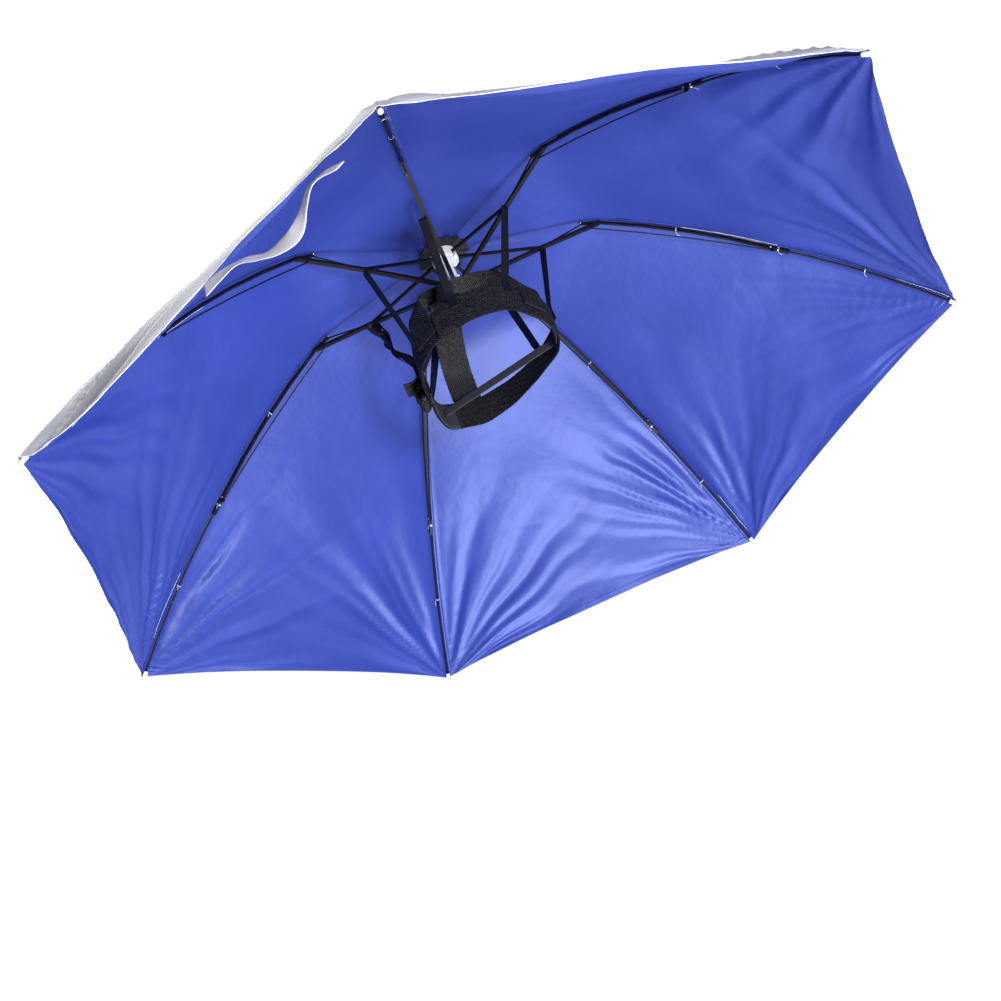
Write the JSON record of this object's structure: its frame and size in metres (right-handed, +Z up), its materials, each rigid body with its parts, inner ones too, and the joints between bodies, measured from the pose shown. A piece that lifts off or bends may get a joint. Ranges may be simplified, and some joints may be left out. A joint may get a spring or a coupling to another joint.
{
  "type": "umbrella hat",
  "caption": "Hands-free folding umbrella worn on the head: a wide shallow cloth dome on hinged ribs, held by a webbing head harness.",
  "frame": {"origin": "on the hat's axis where the top of the wearer's head meets the front crown strap", "axes": "+Z up along the umbrella's axis, +X towards the front of the head band, along the first rib; -Z is where the head comes in"},
  "size_m": [0.9047, 0.9278, 0.2943],
  "materials": {
    "canopy_cloth": "royal blue inside, silver-coated outside, plain weave",
    "rosette_cloth": "dark grey, matt",
    "webbing": "black, coarse weave",
    "tape": "black, smooth weave",
    "elastic": "dark grey, smooth",
    "closure_webbing": "white, smooth",
    "painted_steel": "black paint, bare at edges and rivets",
    "white_plastic": "moulded, satin"
  },
  "bodies": {
    "root": {"canopy": "canopy_cloth", "crown_cap": "white_plastic", "rosette": "rosette_cloth", "hub": "white_plastic", "runner": "white_plastic", "closure_strap": "closure_webbing", "top_rib_1": "painted_steel", "strut_1": "painted_steel", "middle_rib_1": "painted_steel", "outer_rib_1": "painted_steel", "rib_tip_1": "white_plastic", "leg_1": "tape", "top_rib_2": "painted_steel", "strut_2": "painted_steel", "middle_rib_2": "painted_steel", "outer_rib_2": "painted_steel", "rib_tip_2": "white_plastic", "leg_2": "tape", "top_rib_3": "painted_steel", "strut_3": "painted_steel", "middle_rib_3": "painted_steel", "outer_rib_3": "painted_steel", "rib_tip_3": "white_plastic", "leg_3": "tape", "top_rib_4": "painted_steel", "strut_4": "painted_steel", "middle_rib_4": "painted_steel", "outer_rib_4": "painted_steel", "rib_tip_4": "white_plastic", "leg_4": "tape", "top_rib_5": "painted_steel", "strut_5": "painted_steel", "middle_rib_5": "painted_steel", "outer_rib_5": "painted_steel", "rib_tip_5": "white_plastic", "leg_5": "tape", "top_rib_6": "painted_steel", "strut_6": "painted_steel", "middle_rib_6": "painted_steel", "outer_rib_6": "painted_steel", "rib_tip_6": "white_plastic", "leg_6": "tape", "top_rib_7": "painted_steel", "strut_7": "painted_steel", "middle_rib_7": "painted_steel", "outer_rib_7": "painted_steel", "rib_tip_7": "white_plastic", "leg_7": "tape", "head_band": "webbing", "crown_strap_front": "webbing", "crown_strap_side": "webbing", "strap_patch": "webbing", "band_adjuster": "webbing", "side_elastic": "elastic"}
  },
  "joints": []
}
